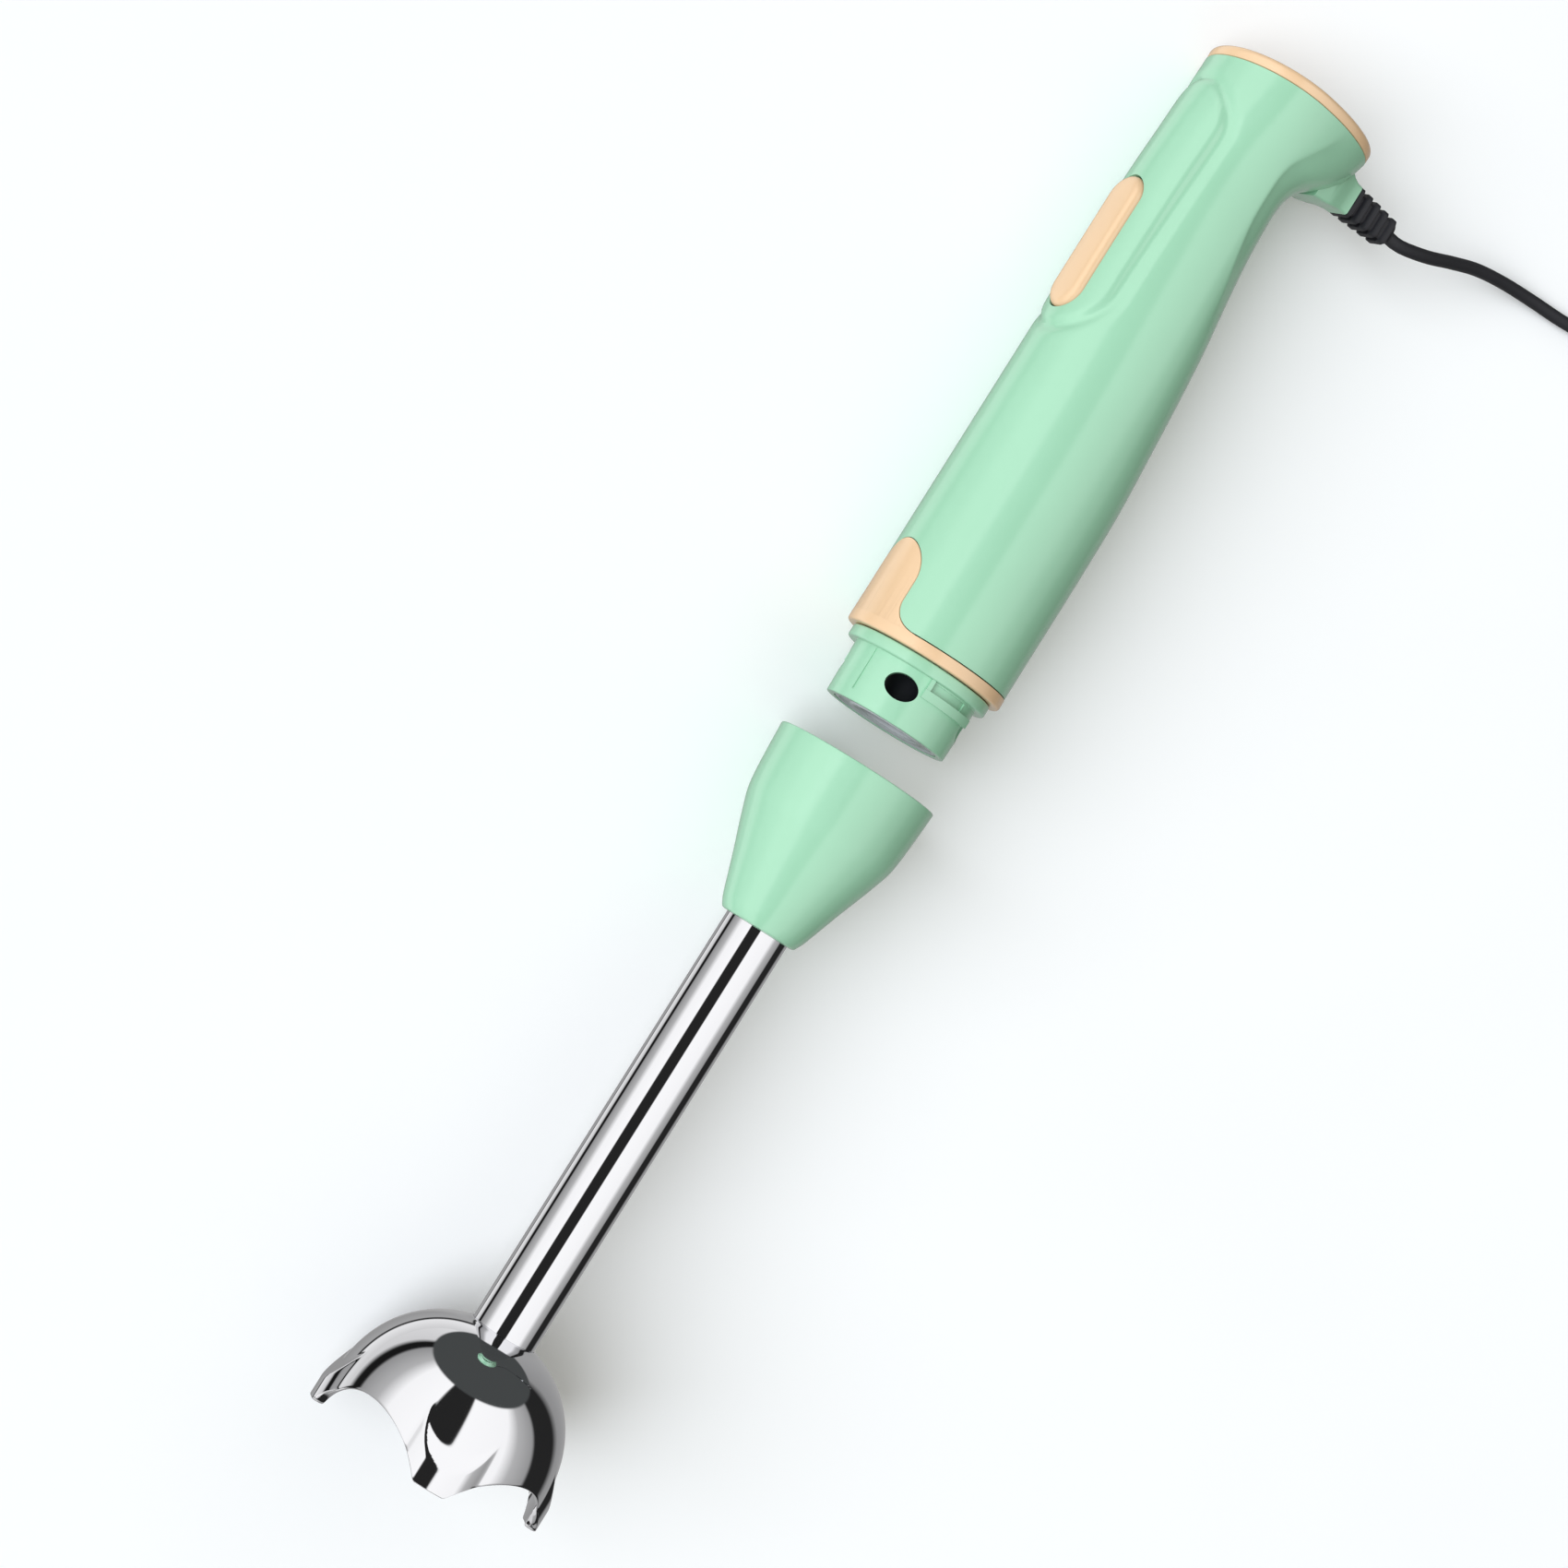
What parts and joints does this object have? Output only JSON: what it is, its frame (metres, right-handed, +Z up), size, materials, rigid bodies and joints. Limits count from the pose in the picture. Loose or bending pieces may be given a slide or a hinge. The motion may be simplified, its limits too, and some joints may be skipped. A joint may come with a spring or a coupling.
{
  "type": "immersion blender",
  "caption": "Hand-held immersion blender with a removable blending shaft, shown apart at its twist lock, with a coiled mains cord.",
  "frame": {"origin": "on the table under the middle of the tool as it lies, cord left out", "axes": "+X from the blade end to the cord end, +Y the side with the button, +Z up from the table"},
  "size_m": [0.4783, 0.3073, 0.07],
  "materials": {
    "mint_plastic": "satin moulded, pale mint green",
    "peach_plastic": "satin moulded, light peach",
    "grey_plastic": "matte",
    "black_rubber": "matte",
    "white_plastic": "matte",
    "chrome": "polished stainless steel",
    "brushed_steel": "machined",
    "magnet_iron": "dull",
    "copper_wire": "enamelled",
    "bronze": "sintered",
    "circuit_board": "solder mask",
    "carbon": "pressed carbon"
  },
  "bodies": {
    "motor_unit": {"body_housing": "mint_plastic", "top_cap": "peach_plastic", "lower_trim_ring": "peach_plastic", "drive_spigot": "mint_plastic", "spigot_end_plate": "grey_plastic", "spigot_screw_1": "brushed_steel", "spigot_screw_2": "brushed_steel", "motor_case": "brushed_steel", "field_magnet_front": "magnet_iron", "field_magnet_back": "magnet_iron", "lower_end_bracket": "brushed_steel", "upper_end_bracket": "brushed_steel", "lower_motor_bush": "bronze", "upper_motor_bush": "bronze", "lower_motor_mount": "black_rubber", "upper_motor_mount": "black_rubber", "brush_card": "circuit_board", "brush_front": "carbon", "brush_back": "carbon", "circuit_board": "circuit_board", "filter_capacitor": "peach_plastic", "rectifier": "black_rubber", "switch_carrier": "white_plastic", "micro_switch": "black_rubber", "lever_pin": "brushed_steel", "button_spring": "brushed_steel", "strain_relief": "black_rubber", "cord_clamp": "white_plastic", "clamp_screw_left": "brushed_steel", "clamp_screw_right": "brushed_steel", "lead_live": "black_rubber", "lead_neutral": "grey_plastic", "power_cord": "black_rubber", "cord_coil": "black_rubber", "cord_tie": "grey_plastic", "plug_body": "black_rubber", "plug_pin_left": "brushed_steel", "plug_pin_right": "brushed_steel"},
    "rotor": {"motor_shaft": "brushed_steel", "armature_core": "magnet_iron", "armature_coil_lower": "copper_wire", "armature_coil_upper": "copper_wire", "commutator": "copper_wire", "cooling_fan": "white_plastic", "drive_socket": "black_rubber"},
    "button": {"power_button": "peach_plastic"},
    "lever": {"switch_lever": "grey_plastic"},
    "seal": {"collar_seal": "black_rubber"},
    "shaft_unit": {"collar": "mint_plastic", "bearing_carrier": "grey_plastic", "shaft_tube": "chrome", "bell_guard": "chrome", "upper_shaft_bush": "bronze", "lower_shaft_bush": "bronze", "shaft_seal": "black_rubber"},
    "blade_unit": {"drive_shaft": "brushed_steel", "drive_hex": "white_plastic", "blade_hub": "white_plastic", "blade": "brushed_steel", "blade_nut": "brushed_steel"}
  },
  "joints": [
    {"name": "motor_spin", "type": "hinge", "parent": "motor_unit", "child": "rotor", "pos_m": [0.03424, 0.01017, 0.02873], "axis": [0.9997, 0, -0.0247], "continuous": true},
    {"name": "shaft_dock", "type": "slide", "parent": "motor_unit", "child": "seal", "axis": [0.9997, 0, -0.0247], "range_m": [0, 0.0337]},
    {"name": "collar_twist", "type": "hinge", "parent": "seal", "child": "shaft_unit", "pos_m": [0.00025, 0.01017, 0.02957], "axis": [-0.9997, 0, 0.0247], "range_deg": [0, 60]},
    {"name": "blade_spin", "type": "hinge", "parent": "shaft_unit", "child": "blade_unit", "pos_m": [-0.20569, 0.01017, 0.03465], "axis": [0.9997, 0, -0.0247], "continuous": true},
    {"name": "button_press", "type": "slide", "parent": "motor_unit", "child": "button", "axis": [0, -1, 0], "range_m": [0, 0.002], "stiffness_N_per_m": 500, "springref_m": -0.002, "deforming": ["button_spring"]},
    {"name": "lever_tilt", "type": "hinge", "parent": "motor_unit", "child": "lever", "pos_m": [0.13821, 0.02377, 0.02617], "axis": [-0.0247, 0, -0.9997], "range_deg": [0, 9.6]}
  ],
  "couplings": [
    {"joint": "blade_spin", "follows": "motor_spin", "ratio": 1},
    {"joint": "lever_tilt", "follows": "button_press", "rad_per_m": 83.333}
  ]
}
